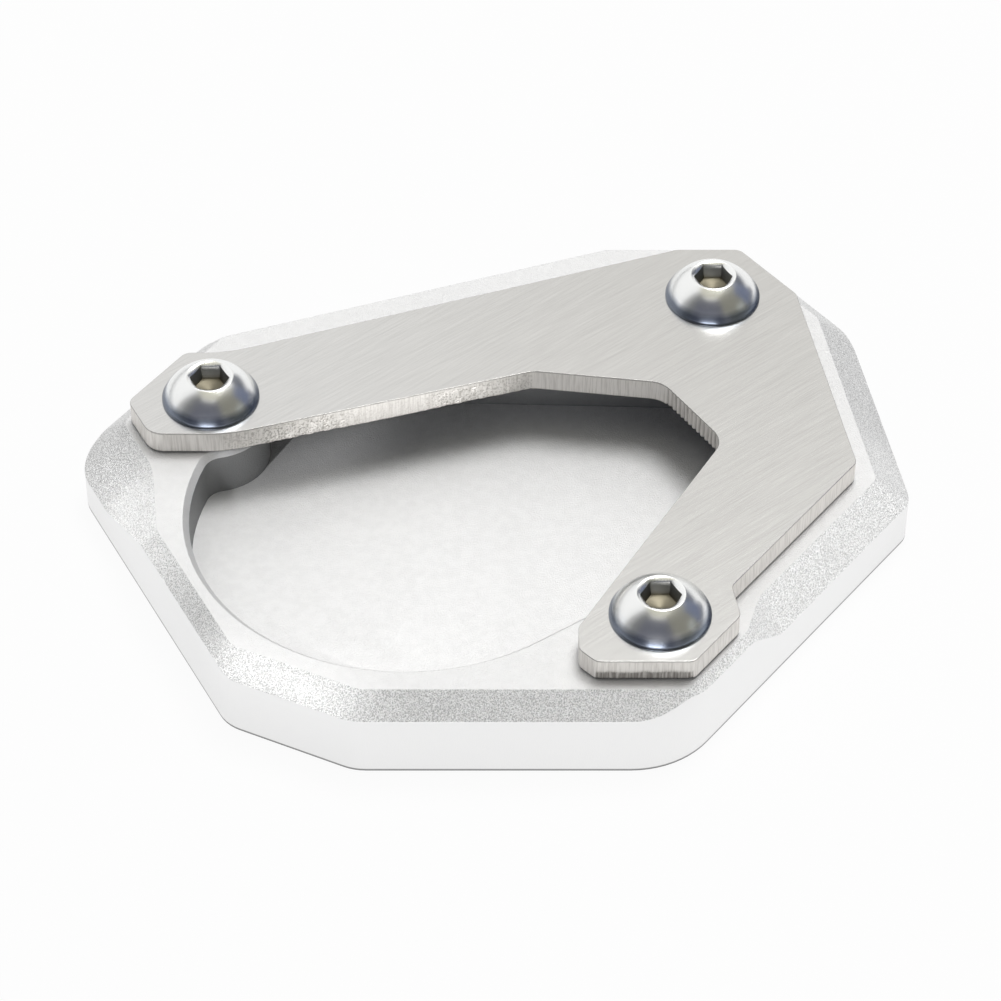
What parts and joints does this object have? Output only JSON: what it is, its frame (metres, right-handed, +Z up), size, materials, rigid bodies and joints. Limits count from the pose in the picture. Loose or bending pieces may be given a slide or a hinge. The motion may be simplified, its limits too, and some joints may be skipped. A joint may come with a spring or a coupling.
{
  "type": "kickstand foot enlarger",
  "caption": "Wide bevelled foot pad for a motorbike's side stand, with a pocket for the stand's foot and a screwed-on steel clamp plate that holds it in.",
  "frame": {"origin": "middle of the pad's outline, on the ground under the pad", "axes": "+X along the pad's long side, +Y towards the clamp's closed side, +Z up from the ground"},
  "size_m": [0.0808, 0.067, 0.0143],
  "materials": {
    "blasted_aluminium": "bead-blasted and silver anodised, satin",
    "brushed_steel": "long-grain brushed faces with sheared edges",
    "plated_screw": "bright zinc plate with a faint blue and straw tint"
  },
  "bodies": {
    "root": {"base_plate": "blasted_aluminium", "clamp_plate": "brushed_steel", "button_head_screws": "plated_screw"}
  },
  "joints": []
}
